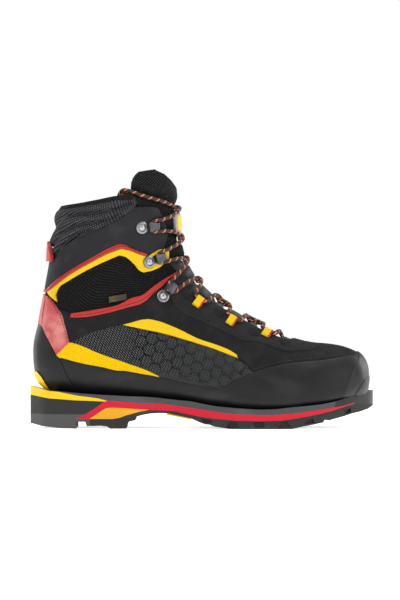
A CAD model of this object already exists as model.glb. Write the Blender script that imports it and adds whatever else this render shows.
import math

import bpy
import numpy as np
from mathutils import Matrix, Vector
from mathutils.geometry import delaunay_2d_cdt


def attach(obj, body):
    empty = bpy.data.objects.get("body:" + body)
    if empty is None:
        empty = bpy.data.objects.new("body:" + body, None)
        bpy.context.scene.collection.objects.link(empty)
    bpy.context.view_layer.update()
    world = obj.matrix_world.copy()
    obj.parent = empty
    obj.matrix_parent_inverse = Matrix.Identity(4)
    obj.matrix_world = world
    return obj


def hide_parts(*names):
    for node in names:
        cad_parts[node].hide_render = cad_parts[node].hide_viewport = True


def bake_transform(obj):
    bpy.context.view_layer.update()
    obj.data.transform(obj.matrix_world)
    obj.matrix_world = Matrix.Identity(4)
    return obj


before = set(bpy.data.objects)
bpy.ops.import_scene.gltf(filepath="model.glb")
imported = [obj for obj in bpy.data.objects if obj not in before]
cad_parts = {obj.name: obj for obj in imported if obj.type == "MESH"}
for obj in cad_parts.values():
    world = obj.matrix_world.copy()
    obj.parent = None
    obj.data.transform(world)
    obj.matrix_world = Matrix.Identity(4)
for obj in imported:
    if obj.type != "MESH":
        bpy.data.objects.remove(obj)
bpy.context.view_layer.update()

# The looks of a mountaineering boot. The sole, the linings and the footbed are the frame's own nodes with
# better materials. The upper is built again here, panel by panel, on the same form as the CAD: outlines are
# side-view points (x, z) in millimetres in the frame's axes, and a panel is that outline laid on the form.

MM = 0.001

# ---------------------------------------------------------------- the boot form
# Each row is a section: its ridge point (x, z), its sole or back point (x, z), the lateral and medial reach,
# the ridge's y, the share of the way down at which it is widest, and the powers of its upper and lower parts.
SECTIONS = np.array([
    (148.3, 47.25, 148.3, 46.95, 7.85, 8.15, 8.0, 0.60, 2.2, 2.4),
    (147.3, 54.6, 147.7, 39.4, -3.0, 19.0, 8.0, 0.60, 2.2, 3.0),
    (144.2, 61.7, 146.0, 32.0, -11.0, 27.0, 8.0, 0.60, 2.2, 3.0),
    (138.8, 67.0, 141.0, 28.0, -20.0, 33.0, 8.0, 0.60, 2.2, 3.0),
    (128.0, 71.5, 129.0, 25.0, -30.0, 38.0, 7.0, 0.70, 2.2, 3.5),
    (112.0, 74.3, 112.0, 21.0, -38.0, 42.0, 6.0, 0.75, 2.2, 4.0),
    (90.0, 77.2, 90.0, 17.0, -45.0, 45.0, 4.0, 0.80, 2.1, 4.0),
    (65.0, 86.7, 65.0, 14.5, -49.5, 47.5, 3.0, 0.80, 2.0, 4.0),
    (40.0, 99.2, 38.0, 15.0, -48.5, 43.5, 2.0, 0.80, 1.9, 4.0),
    (18.0, 113.0, 5.0, 19.0, -44.5, 37.0, 1.0, 0.78, 1.9, 4.0),
    (4.0, 126.0, -30.0, 23.5, -40.0, 34.0, 1.0, 0.75, 2.0, 3.6),
    (-5.0, 136.0, -75.0, 26.5, -37.5, 34.0, 0.0, 0.68, 2.1, 3.2),
    (-10.5, 145.0, -115.0, 29.0, -36.5, 35.5, 0.0, 0.62, 2.2, 3.0),
    (-14.0, 154.0, -143.5, 39.0, -37.0, 36.5, 0.0, 0.58, 2.3, 2.7),
    (-16.0, 163.0, -149.5, 66.0, -37.5, 37.0, 0.0, 0.55, 2.3, 2.5),
    (-17.5, 172.0, -145.0, 95.0, -38.0, 37.5, 0.0, 0.54, 2.3, 2.4),
    (-18.0, 180.0, -140.6, 118.0, -38.5, 38.0, 0.0, 0.53, 2.3, 2.3),
    (-18.5, 187.0, -136.0, 144.0, -39.5, 39.0, 0.0, 0.53, 2.3, 2.3),
    (-19.5, 194.0, -134.5, 165.0, -41.0, 40.5, 0.0, 0.53, 2.3, 2.3),
    (-21.0, 201.0, -130.0, 184.0, -42.0, 41.5, 0.0, 0.53, 2.3, 2.3),
    (-22.0, 211.3, -122.0, 198.0, -42.5, 42.0, 0.0, 0.53, 2.3, 2.3),
    (-23.5, 221.0, -118.0, 212.0, -42.5, 42.0, 0.0, 0.53, 2.3, 2.3),
    (-26.0, 240.0, -114.0, 232.0, -42.0, 41.5, 0.0, 0.53, 2.3, 2.3),
])
LAST = len(SECTIONS) - 1
ROUND = 38.0     # millimetres per radian of a section, to lay the form out flat


def sections_at(u):
    """The sections at the running numbers u, joined by smooth curves."""
    u = np.clip(np.asarray(u, float), 0, LAST)
    k = np.minimum(u.astype(int), LAST - 1)
    f = (u - k)[..., None]
    here, after = SECTIONS[k], SECTIONS[k + 1]
    before = np.where((k > 0)[..., None], SECTIONS[np.maximum(k - 1, 0)], 2 * here - after)
    beyond = np.where((k < LAST - 1)[..., None], SECTIONS[np.minimum(k + 2, LAST)], 2 * after - here)
    cubic = 3 * here - before - 3 * after + beyond
    square = 2 * before - 5 * here + 4 * after - beyond
    return 0.5 * (2 * here + (after - before) * f + square * f ** 2 + cubic * f ** 3)


def surface(u, angle):
    """Points of the form. Angle 0 is the ridge, a quarter turn the lateral side, minus that the medial."""
    angle = np.asarray(angle, float)
    ax, az, bx, bz, lateral, medial, middle, widest, upper, lower = np.moveaxis(sections_at(u), -1, 0)
    s, c = np.sin(angle), np.cos(angle)
    power = np.where(c >= 0, upper, lower)
    reach = np.abs(c) ** (2 / power)
    along = np.where(c >= 0, widest * (1 - reach), widest + (1 - widest) * reach)
    y = middle + (np.where(s >= 0, lateral, medial) - middle) * np.abs(s) ** (2 / power)
    return np.stack([ax + (bx - ax) * along, y, az + (bz - az) * along], -1)


def outward(u, angle):
    """Unit normals of the form, out of the boot."""
    step = 0.03
    u = np.clip(u, step, LAST - step)
    over = surface(u + step, angle) - surface(u - step, angle)
    across = surface(u, angle + step) - surface(u, angle - step)
    normal = np.cross(over, across)
    return normal / np.maximum(np.linalg.norm(normal, axis=-1, keepdims=True), 1e-9)


def off(u, angle, height):
    """Points that stand height millimetres off the form."""
    return surface(u, angle) + outward(u, angle) * np.asarray(height, float)[..., None]


def run_along(line):
    """How far along a line of points each of them lies."""
    return np.concatenate([[0], np.cumsum(np.linalg.norm(np.diff(line, axis=0), axis=1))])


FINE = np.linspace(0, LAST, 2301)        # a close row of sections, to find places on the form in
FINE_ROWS = sections_at(FINE)
FINE_RUN = run_along(surface(FINE, np.full_like(FINE, math.pi / 2)))


def locate(points):
    """(u, angle) of side-view points on the lateral half. A point outside the boot goes to its edge."""
    p = np.asarray(points, float)
    ax, az, bx, bz = FINE_ROWS[:, :4].T
    dx, dz = bx - ax, bz - az
    px, pz = p[:, 0, None], p[:, 1, None]
    turn = dx * (pz - az) - dz * (px - ax)
    share = ((px - ax) * dx + (pz - az) * dz) / (dx ** 2 + dz ** 2)
    miss = np.maximum(0, np.maximum(-share, share - 1))
    crossed = turn[:, :-1] * turn[:, 1:] <= 0
    cost = np.where(crossed, miss[:, :-1], 1e6 + np.abs(turn[:, :-1]))
    k = np.argmin(cost, axis=1)
    rows = np.arange(len(p))
    t0, t1 = turn[rows, k], turn[rows, k + 1]
    part = np.where(crossed[rows, k], np.clip(t0 / np.where(t0 == t1, 1, t0 - t1), 0, 1), 0)
    u = FINE[k] + part * (FINE[1] - FINE[0])
    s = np.clip(share[rows, k] * (1 - part) + share[rows, k + 1] * part, 0, 1)
    widest, upper, lower = sections_at(u)[:, 7:].T
    high = np.maximum(1 - s / widest, 0) ** (upper / 2)
    low = -(np.maximum(s - widest, 0) / (1 - widest)) ** (lower / 2)
    return u, np.arccos(np.clip(np.where(s <= widest, high, low), -1, 1))


def flat(u, angle):
    """Where points of the form lie when it is laid out flat, in millimetres."""
    return np.stack([np.interp(u, FINE, FINE_RUN), np.asarray(angle) * ROUND], -1)


def unflat(p):
    """(u, angle) of laid-out points."""
    return np.interp(p[:, 0], FINE_RUN, FINE), p[:, 1] / ROUND


# ---------------------------------------------------------------- outlines
CORNER = math.radians(32)        # an outline that turns by more than this has a sharp corner there


def rounded(points, closed=True, step=1.5):
    """A smooth line through side-view points, with the sharp corners kept, as points about a step apart."""
    pts = [np.array(p, float) for p in points]
    n = len(pts)
    out = []
    for k in range(n if closed else n - 1):
        p1, p2 = pts[k], pts[(k + 1) % n]
        p0 = pts[k - 1] if closed or k else p1
        p3 = pts[(k + 2) % n] if closed or k + 2 < n else p2

        def tangent(a, b, c):
            first, second = b - a, c - b
            l1, l2 = np.linalg.norm(first), np.linalg.norm(second)
            if l1 < 1e-6 or l2 < 1e-6 or np.dot(first, second) / (l1 * l2) < math.cos(CORNER):
                return None
            return (first / l1 * l2 + second / l2 * l1) / (l1 + l2)

        span = np.linalg.norm(p2 - p1)
        chord = (p2 - p1) / max(span, 1e-9)
        t1, t2 = tangent(p0, p1, p2), tangent(p1, p2, p3)
        t1 = chord if t1 is None else t1
        t2 = chord if t2 is None else t2
        for f in np.arange(0, 1, 1 / max(1, round(span / step))):
            h00, h10 = 2 * f ** 3 - 3 * f ** 2 + 1, f ** 3 - 2 * f ** 2 + f
            h01, h11 = 3 * f ** 2 - 2 * f ** 3, f ** 3 - f ** 2
            out.append(h00 * p1 + h10 * span * t1 + h01 * p2 + h11 * span * t2)
    if not closed:
        out.append(pts[-1])
    return np.array(out)


def spread(line, step):
    """A closed flat line with its points about a step apart, and no two closer than a third of that."""
    out = []
    for a, b in zip(line, np.roll(line, -1, axis=0)):
        span = np.linalg.norm(b - a)
        if span < 1e-4:
            continue
        count = max(1, round(span / step))
        out += [a + (b - a) * k / count for k in range(count)]
    kept = [out[0]]
    for p in out[1:]:
        if np.linalg.norm(p - kept[-1]) > step / 3:
            kept.append(p)
    if np.linalg.norm(kept[-1] - kept[0]) < step / 3:
        kept.pop()
    return np.array(kept)


def inside(points, line):
    """Which flat points lie inside a closed flat line."""
    x, y = points[:, 0, None], points[:, 1, None]
    x1, y1 = line.T
    x2, y2 = np.roll(line, -1, axis=0).T
    rises = (y1 > y) != (y2 > y)
    cross = (x2 - x1) * (y - y1) / np.where(y2 == y1, 1e-9, y2 - y1) + x1
    return (rises & (x < cross)).sum(axis=1) % 2 == 1


def distance(points, starts, ends):
    """The distance from each point to the nearest of the segments."""
    best = np.full(len(points), 1e9)
    span = ends - starts
    square = np.maximum((span ** 2).sum(axis=1), 1e-12)
    for first in range(0, len(points), 2000):
        p = points[first:first + 2000, None, :]
        t = np.clip(((p - starts) * span).sum(axis=2) / square, 0, 1)
        gap = np.linalg.norm(p - (starts + t[..., None] * span), axis=2)
        best[first:first + 2000] = gap.min(axis=1)
    return best


# ---------------------------------------------------------------- meshes
def new_object(name, points, faces, material, smooth=40):
    """A mesh object from points in millimetres."""
    mesh = bpy.data.meshes.new(name)
    mesh.from_pydata((np.asarray(points) * MM).tolist(), [], [list(map(int, f)) for f in faces])
    mesh.validate()
    mesh.shade_smooth()
    mesh.set_sharp_from_angle(angle=math.radians(smooth))
    mesh.materials.append(material)
    thing = bpy.data.objects.new(name, mesh)
    bpy.context.scene.collection.objects.link(thing)
    return thing


def add_flat_attribute(thing, values, domain="POINT"):
    """Stores laid-out places, in millimetres, for patterns that follow the cloth."""
    layer = thing.data.attributes.new("laid", "FLOAT_VECTOR", domain)
    layer.data.foreach_set("vector", np.asarray(values, np.float32).ravel())


class Patch:
    """A panel's points before they become a mesh: what a height function may read, in millimetres."""

    def __init__(self, u, angle, edge, base):
        self.u, self.angle, self.edge, self.base = u, angle, edge, base
        self.x, self.y, self.z = base.T


def level(p):
    """The height function of a face with no relief."""
    return 0 * p.edge


def rounded_edge(edge, radius):
    """How far below the top a rounded edge is, at that distance from the panel's boundary."""
    inward = np.clip(edge, 0, radius)
    return radius - np.sqrt(np.maximum(radius ** 2 - (radius - inward) ** 2, 0))


RIDGE_SEAM, BACK_SEAM = 0.0, math.pi * ROUND    # the laid-out form's edges, where the boot's halves meet
SNAP = 0.6                # a border this near a seam is put on it
FINEST_BORDER = 1.6
THINNEST = 0.25


def cut_flat(outline, edge, step):
    """Points and triangles that fill an outline on the laid-out form, closer together at its border."""
    border = spread(flat(*locate(rounded(outline))), min(step, FINEST_BORDER))
    border[border[:, 1] < SNAP, 1] = RIDGE_SEAM
    border[border[:, 1] > BACK_SEAM - SNAP, 1] = BACK_SEAM
    ends = np.roll(border, -1, axis=0)
    low, high = border.min(axis=0), border.max(axis=0)
    rows = np.arange(low[1], high[1] + step, step * 0.87)
    grid = np.array([
        (x + (k % 2) * step / 2, RIDGE_SEAM if y < step * 0.5 else min(y, BACK_SEAM))
        for k, y in enumerate(rows)
        for x in np.arange(low[0], high[0] + step, step)
    ])
    ahead = ends - np.roll(border, 1, axis=0)
    ahead /= np.maximum(np.linalg.norm(ahead, axis=1, keepdims=True), 1e-9)
    square_to = np.stack([-ahead[:, 1], ahead[:, 0]], -1)

    def far_enough(points, least):
        points = points[inside(points, border)]
        return points[distance(points, border, ends) >= least] if len(points) else points

    wanted = [border]
    for sign in (1, -1):        # two rows of points along the border shape its rounded edge
        for away, least in ((0.3, 0.27), (0.9, 0.85)):
            wanted.append(far_enough(border + square_to * sign * (away * edge), least * edge))
    wanted.append(far_enough(grid, max(0.9 * edge + 0.3 * step, 0.45 * step)))
    points = np.concatenate([w for w in wanted if len(w)])
    loop = [(k, (k + 1) % len(border)) for k in range(len(border))]
    points, _, faces, *_ = delaunay_2d_cdt([Vector(p) for p in points], loop, [], 1, 1e-4, False)
    points = np.array([(p.x, p.y) for p in points])
    centres = np.array([points[list(f)].mean(axis=0) for f in faces])
    faces = [list(f) for f, within in zip(faces, inside(centres, border)) if within]
    points[:, 1] = np.clip(points[:, 1], RIDGE_SEAM, BACK_SEAM)
    return points, faces


def on_sides(points, faces, side):
    """(u, angle, faces) of flat triangles on one side of the boot, or on both with shared seam points."""
    u, angle = unflat(points)
    turned_over = [f[::-1] for f in faces]
    if side == "lateral":
        return u, angle, faces
    if side == "medial":
        return u, -angle, turned_over
    count = len(u)
    on_seam = (points[:, 1] < 1e-6) | (points[:, 1] > BACK_SEAM - 1e-6)
    merge = np.arange(2 * count)
    merge[count:][on_seam] = np.arange(count)[on_seam]
    used, index = np.unique(merge, return_inverse=True)
    faces = faces + [[v + count for v in f] for f in turned_over]
    u, angle = np.concatenate([u, u])[used], np.concatenate([angle, -angle])[used]
    return u, angle, [[int(index[v]) for v in f] for f in faces]


def panel(name, outline, material, rise=0.0, depth=2.5, edge=0.7, step=2.6, side="both",
          front=level, back=level):
    """A closed shell on the form inside a side-view outline, on one side of the boot or round both.

    rise is its outer face's height off the form, depth how far below the form its inner face is, and edge the
    radius of its rounded edge. front and back are functions of a Patch that add to the two faces' heights.
    """
    u, angle, faces = on_sides(*cut_flat(outline, edge, step), side)
    edges = dict.fromkeys((a, b) for f in faces for a, b in zip(f, f[1:] + f[:1]))
    rim = [(a, b) for a, b in edges if (b, a) not in edges]
    base, normal = surface(u, angle), outward(u, angle)
    gap = distance(base, base[[a for a, _ in rim]], base[[b for _, b in rim]])
    patch = Patch(u, angle, gap, base)
    outer = rise - rounded_edge(gap, edge) + front(patch)
    inner = np.minimum(back(patch) - depth, outer - THINNEST)
    verts = np.concatenate([base + normal * outer[:, None], base + normal * inner[:, None]])
    n = len(u)
    solid = faces + [[v + n for v in f[::-1]] for f in faces] + [[b, a, a + n, b + n] for a, b in rim]
    first, second, third = verts[faces[0]]
    if np.dot(np.cross(second - first, third - first), normal[faces[0][0]]) < 0:
        solid = [f[::-1] for f in solid]
    thing = new_object(name, verts, solid, material)
    laid = np.column_stack([flat(u, np.abs(angle)), np.sign(angle)])
    add_flat_attribute(thing, np.concatenate([laid, laid]))
    return thing


# ---------------------------------------------------------------- materials
def add_node(tree, kind, inputs, **settings):
    """A new shader node. Its inputs, by name or number, are fields, other nodes' sockets or plain values."""
    node = tree.nodes.new("ShaderNode" + kind)
    for name, value in settings.items():
        setattr(node, name, value)
    for name, value in inputs.items():
        value = value.socket if isinstance(value, Field) else value
        if isinstance(value, bpy.types.NodeSocket):
            tree.links.new(value, node.inputs[name])
        else:
            node.inputs[name].default_value = value
    return node


class Field:
    """A number at each point of a material. Its arithmetic adds Math nodes."""

    def __init__(self, tree, socket):
        self.tree, self.socket = tree, socket

    def math(self, operation, *others):
        node = add_node(self.tree, "Math", dict(enumerate((self, *others))), operation=operation)
        return Field(self.tree, node.outputs[0])

    def __add__(self, other):
        return self.math("ADD", other)

    def __sub__(self, other):
        return self.math("SUBTRACT", other)

    def __mul__(self, other):
        return self.math("MULTIPLY", other)

    def __truediv__(self, other):
        return self.math("DIVIDE", other)

    def __mod__(self, other):
        return self.math("FLOORED_MODULO", other)

    def __abs__(self):
        return self.math("ABSOLUTE")

    def wave(self, period):
        """0 to 1 and back over each period."""
        return (self * (2 * math.pi / period)).math("SINE") * 0.5 + 0.5

    def step(self, low, high):
        """0 below low and 1 above high, smooth between; the other way round if low is more than high."""
        below, above = (1.0, 0.0) if low > high else (0.0, 1.0)
        values = {"From Min": min(low, high), "From Max": max(low, high), "To Min": below, "To Max": above}
        node = add_node(self.tree, "MapRange", {"Value": self, **values}, interpolation_type="SMOOTHSTEP")
        return Field(self.tree, node.outputs["Result"])


def smooth(value, low, high):
    """0 below low and 1 above high, smooth between, for numbers or a field."""
    if isinstance(value, Field):
        return value.step(low, high)
    t = np.clip((value - low) / (high - low), 0, 1)
    return t * t * (3 - 2 * t)


class Finish:
    """A principled material, built up from fields. Lengths are millimetres."""

    def __init__(self, name, colour, rough, **constants):
        self.material = bpy.data.materials.new(name)
        self.material.use_nodes = True
        self.tree = self.material.node_tree
        self.shader = self.tree.nodes["Principled BSDF"]
        self.colour = (*colour, 1)
        constants = {"Base_Color": self.colour, "Roughness": rough, **constants}
        for socket, value in constants.items():
            self.shader.inputs[socket.replace("_", " ")].default_value = value
        self.place = add_node(self.tree, "TexCoord", {}).outputs["Object"]
        self.place = self.scaled(MM)
        self.x, self.y, self.z = self.parts(self.place)

    def scaled(self, size, stretch=(1, 1, 1)):
        """The place on the object in lengths of that size, and shorter ones where stretch is more than 1."""
        shares = [s / size for s in stretch]
        return add_node(self.tree, "VectorMath", {0: self.place, 1: shares}, operation="MULTIPLY").outputs[0]

    def parts(self, vector):
        """The three fields of a vector socket."""
        return [Field(self.tree, part) for part in add_node(self.tree, "SeparateXYZ", {0: vector}).outputs]

    def laid(self):
        """The coordinates of the laid-out panel: along the boot, round it, and which side."""
        return self.parts(add_node(self.tree, "Attribute", {}, attribute_name="laid").outputs["Vector"])

    def noise(self, size, detail=3.0, stretch=(1, 1, 1), rough=0.5):
        """Noise from 0 to 1, with features about size millimetres across, longer where stretch is small."""
        place = self.scaled(size, stretch)
        inputs = {"Vector": place, "Scale": 1.0, "Detail": detail, "Roughness": rough}
        return Field(self.tree, add_node(self.tree, "TexNoise", inputs).outputs["Fac"])

    def cells(self, size):
        """The distance to the nearest of random points about size millimetres apart."""
        node = add_node(self.tree, "TexVoronoi", {"Vector": self.scaled(size), "Scale": 1.0})
        return Field(self.tree, node.outputs["Distance"])

    def tint(self, colour, share):
        """Mixes another colour in, by a field from 0 to 1."""
        inputs = {0: share, 6: self.colour, 7: (*colour, 1)}      # 6 and 7 are the mix node's colour sockets
        mix = add_node(self.tree, "Mix", inputs, data_type="RGBA", clamp_factor=True)
        self.colour = mix.outputs[2]
        self.tree.links.new(self.colour, self.shader.inputs["Base Color"])

    def rough(self, field, low, high):
        """Runs the roughness from low to high by a field from 0 to 1."""
        self.tree.links.new((field * (high - low) + low).socket, self.shader.inputs["Roughness"])

    def bump(self, field, depth):
        """Raises the surface by field times depth millimetres, for light only. Gives the finish back."""
        inputs = {"Strength": 1.0, "Distance": depth * MM, "Height": field}
        normal = self.shader.inputs["Normal"]
        if normal.is_linked:
            inputs["Normal"] = normal.links[0].from_socket
        self.tree.links.new(add_node(self.tree, "Bump", inputs).outputs[0], normal)
        return self


def rubber(name, colour, rough, grain=0.08, scuff=0.5, specular=0.26):
    """Moulded rubber: a fine grain, soft smears of dust and slightly polished high spots."""
    f = Finish(name, colour, rough, Specular_IOR_Level=specular)
    smear = f.noise(26, 4, (0.6, 1, 1.4))
    f.tint([c * 1.6 + 0.020 for c in colour], smear.step(0.48, 0.78) * scuff)
    fine = f.noise(0.7, 4, rough=0.65)
    f.rough(f.noise(7, 3) * 0.7 + fine * 0.3, rough - 0.1, rough + 0.14)
    f.bump(f.noise(9, 2), 0.35)
    return f.bump(fine, grain)


def microfibre(name, colour):
    """Suede-like microfibre with a short nap and faint cloudy shading."""
    f = Finish(name, colour, 0.62, Specular_IOR_Level=0.09, Sheen_Weight=0.01, Sheen_Roughness=0.45)
    nap = f.noise(0.55, 5, rough=0.7)
    cloud = f.noise(14, 3)
    f.tint([c * 1.7 + 0.01 for c in colour], cloud.step(0.45, 0.8) * 0.45 + nap.step(0.5, 0.9) * 0.35)
    f.rough(nap, 0.5, 0.76)
    f.bump(f.cells(1.1), 0.07)
    return f.bump(nap, 0.12)


def plastic(name, colour, dark, rough=0.42, grain=0.05):
    """Coloured film or moulded plastic with slight shading and a fine grain."""
    f = Finish(name, colour, rough, Specular_IOR_Level=0.22, Coat_Weight=0.02, Coat_Roughness=0.35)
    f.tint(dark, f.noise(11, 4).step(0.5, 0.85) * 0.5)
    f.rough(f.noise(5, 3), rough - 0.08, rough + 0.12)
    return f.bump(f.noise(0.6, 4, rough=0.6), grain)


def woven(name, colour, thread, dark, pitch, turn=0.0, depth=0.22, rough=0.8, laid=True):
    """A woven or knitted cloth: two crossing rows of yarn that follow the laid-out panel or the object."""
    f = Finish(name, colour, rough, Specular_IOR_Level=0.06, Sheen_Weight=0.01, Sheen_Roughness=0.5)
    a, b, _ = f.laid() if laid else (f.x + f.y * 0.5, f.z + f.y * 0.5, f.y)
    ca, sa = math.cos(turn), math.sin(turn)
    along, across = a * ca + b * sa, b * ca - a * sa
    rows, columns = along.wave(pitch), across.wave(pitch * 0.8)
    yarn = rows * columns
    f.tint(dark, yarn.step(0.35, 0.0) * 0.9)
    f.tint(thread, yarn.step(0.62, 0.95) * (f.noise(1.9, 2).step(0.42, 0.7) * 0.75 + 0.2))
    f.tint(dark, f.noise(12, 3).step(0.55, 0.9) * 0.35)
    f.bump(yarn, depth)
    return f.bump(f.noise(0.45, 3), 0.06)


YELLOW = (0.68, 0.44, 0.004)
YELLOW_DARK = (0.58, 0.33, 0.0)
RED = (0.40, 0.026, 0.024)
PINK = (0.42, 0.055, 0.055)
CRIMSON = (0.52, 0.006, 0.024)
ORANGE = (0.66, 0.33, 0.010)

rand_rubber = rubber("rand_rubber", (0.006, 0.006, 0.007), 0.46).material
toe_rubber = rubber("toe_rubber", (0.007, 0.007, 0.008), 0.38, scuff=0.8, specular=0.36).material
quarter_fibre = microfibre("quarter_microfibre", (0.010, 0.010, 0.011)).material
cuff_fibre = microfibre("cuff_microfibre", (0.019, 0.019, 0.021)).material
eyestay_fibre = microfibre("eyestay_microfibre", (0.014, 0.014, 0.015)).material
yellow_film = plastic("yellow_film", YELLOW, YELLOW_DARK).material
yellow_mould = plastic("yellow_mould", (0.74, 0.50, 0.005), YELLOW_DARK, 0.36).material
gray_rubber = rubber("welt_gray", (0.055, 0.056, 0.059), 0.62, 0.3).material
orange_foam = rubber("arch_orange", ORANGE, 0.62, 0.3, 0.15).material
crimson_foam = rubber("midsole_crimson", CRIMSON, 0.55, 0.25, 0.1).material


def make_open_mesh():
    """Black open mesh: round holes between pale crossed threads."""
    f = Finish("open_mesh", (0.002, 0.002, 0.002), 0.8, Specular_IOR_Level=0.1)
    net = (f.x + f.z).wave(1.9) * (f.x - f.z).wave(1.9)
    f.tint((0.10, 0.10, 0.102), net.step(0.45, 0.85))
    f.bump(net, 0.4)
    return f.material


def make_heel_red():
    """Coated red fabric that shines paler across its middle, with a faint printed grain."""
    f = plastic("heel_red", PINK, (0.50, 0.05, 0.05), 0.34, 0.08)
    middle = abs(f.z - 86).step(26, 2) * f.noise(9, 3).step(0.25, 0.7)
    f.tint((0.60, 0.24, 0.22), middle * 0.8)
    return f.material


HEX_SIZE = 5.9
HEX_TURN = math.radians(-14)


def larger(a, b):
    """The larger of two numbers or two fields."""
    return a.math("MAXIMUM", b) if isinstance(a, Field) else np.maximum(a, b)


def hexagon_gap(x, z):
    """How far side-view places, as numbers or fields, are from the nearest edge of the hexagons."""
    ca, sa = math.cos(HEX_TURN), math.sin(HEX_TURN)
    a, b = (x * ca + z * sa) / HEX_SIZE, (z * ca - x * sa) / HEX_SIZE
    wide, tall = 3.0, math.sqrt(3)

    def cell(shift_a, shift_b):
        p = abs((a + shift_a) / wide % 1.0 * wide - wide / 2)
        q = abs((b + shift_b) / tall % 1.0 * tall - tall / 2)
        return larger(q, p * (tall / 2) + q * 0.5)

    return (larger(cell(0, 0) * -1, cell(wide / 2, tall / 2) * -1) + tall / 2) * HEX_SIZE


def hexagons_show(x, z):
    """How clearly the hexagons show, from 0 to 1, at side-view places as numbers or fields."""
    return smooth(x, -75, -45) * smooth(z + x * 0.30 - 34, 0, 12)


DASH_TURN = math.radians(-50)


def make_flank_mesh():
    """Black abrasion mesh: pale slanting threads in raised hexagons, the hexagons fading out at the ends."""
    f = Finish("flank_mesh", (0.004, 0.004, 0.005), 0.7, Specular_IOR_Level=0.12)
    ca, sa = math.cos(DASH_TURN), math.sin(DASH_TURN)
    across, along = f.z * ca - f.x * sa, f.x * ca + f.z * sa
    thread = across.wave(1.62).step(0.66, 0.94)
    broken = (along + across * 0.6).wave(3.1).step(0.06, 0.34)
    cell = (hexagon_gap(f.x, f.z).step(0.40, 0.62) - 1) * hexagons_show(f.x, f.z) + 1
    lit = thread * broken * cell
    f.tint((0.19, 0.195, 0.195), lit * (f.noise(2.2, 2) * 0.7 + 0.45))
    f.tint((0.001, 0.001, 0.001), (cell - 1) * -0.9)
    f.bump(lit, 0.2)
    return f.material


def make_tongue_cover():
    """The ribbed gray cover that runs down the middle of the instep, with dark open mesh to each side."""
    f = Finish("tongue_cover", (0.045, 0.045, 0.046), 0.6, Specular_IOR_Level=0.4)
    a, b, _ = f.laid()
    side = b.step(11, 16)
    rib = a.wave(1.5) * (b * 0.9).wave(1.3)
    f.tint((0.010, 0.010, 0.010), side)
    f.tint((0.13, 0.13, 0.135), rib.step(0.5, 0.9) * (side * -0.75 + 1) * 0.7)
    f.bump(rib, 0.3)
    return f.material


def make_footbed():
    """Gray felt, reddish towards its underside."""
    f = Finish("footbed_felt", (0.05, 0.05, 0.052), 0.9)
    f.tint((0.10, 0.02, 0.02), f.z.step(38, 27) * 0.6)
    f.tint((0.09, 0.09, 0.095), f.noise(1.2, 4).step(0.45, 0.7) * 0.5)
    f.bump(f.noise(0.9, 4), 0.2)
    return f.material


def make_tread():
    """The black outsole: dusty along the ground, a paler bevel round the back of the heel."""
    f = rubber("tread_rubber", (0.020, 0.020, 0.019), 0.6, 0.22, 0.5)
    heel = f.x.step(-98, -100) * f.z.step(13.2, 12.0)
    f.tint((0.085, 0.085, 0.085), heel * 0.75)
    f.tint((0.075, 0.072, 0.066), f.z.step(7, 0) * f.noise(3.0, 4).step(0.45, 0.75) * 0.5)
    return f.material


def make_metal(name, colour, rough):
    """Metal with darker tarnish and fine scratches."""
    f = Finish(name, colour, rough, Metallic=1.0)
    scratch = f.noise(0.9, 4, (1, 1, 5))
    f.tint([c * 0.45 for c in colour], f.noise(2.5, 3).step(0.5, 0.8) * 0.6)
    f.rough(scratch, rough - 0.08, rough + 0.2)
    f.bump(scratch, 0.03)
    return f.material


LACE_TWIST = 7.6         # millimetres in which the lace's fleck goes once round


def make_lace():
    """Braided charcoal lace with a helical fleck of orange and gold."""
    f = Finish("lace_braid", (0.040, 0.038, 0.038), 0.7, Specular_IOR_Level=0.3)
    run, turn, _ = f.laid()
    off_centre = abs((run / LACE_TWIST + turn / (2 * math.pi)) % 1.0 - 0.5)
    braid = (run + turn * 1.3).wave(1.5) * (run - turn * 1.3).wave(1.5)
    f.tint((0.010, 0.010, 0.010), braid.step(0.25, 0.0) * 0.8)
    f.tint((0.70, 0.14, 0.045), off_centre.step(0.125, 0.085))
    f.tint((0.78, 0.42, 0.13), off_centre.step(0.045, 0.02))
    f.tint((0.10, 0.03, 0.02), braid.step(0.16, 0.0) * 0.5)
    f.bump(braid, 0.25)
    return f.material


def make_thread(name, colour):
    """Sewing thread, with its twist."""
    f = Finish(name, colour, 0.6)
    ply = (f.x + f.z).wave(0.7)
    f.tint([c * 0.4 for c in colour], ply.step(0.5, 0.0))
    f.bump(ply, 0.06)
    return f.material


open_mesh = make_open_mesh()
piping_red = plastic("piping_red", RED, (0.42, 0.02, 0.02), 0.4).material
heel_red = make_heel_red()
flank_mesh = make_flank_mesh()
tongue_cover = make_tongue_cover()
footbed_felt = make_footbed()
tread_rubber = make_tread()
hook_metal = make_metal("hook_gunmetal", (0.085, 0.088, 0.098), 0.30)
rivet_metal = make_metal("rivet_steel", (0.42, 0.42, 0.43), 0.26)
ring_metal = make_metal("rivet_ring", (0.26, 0.265, 0.28), 0.28)
lace_braid = make_lace()
black_thread = make_thread("black_thread", (0.008, 0.008, 0.008))
inner_board = rubber("inner_board", (0.10, 0.085, 0.06), 0.8, 0.3, 0.3).material
aglet_plastic = plastic("aglet_black", (0.02, 0.02, 0.02), (0.01, 0.01, 0.01), 0.25).material
badge_gray = plastic("badge_gray", (0.30, 0.31, 0.33), (0.18, 0.18, 0.19), 0.35).material
label_gold = plastic("label_gold", (0.035, 0.030, 0.022), (0.25, 0.17, 0.04), 0.5).material

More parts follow.
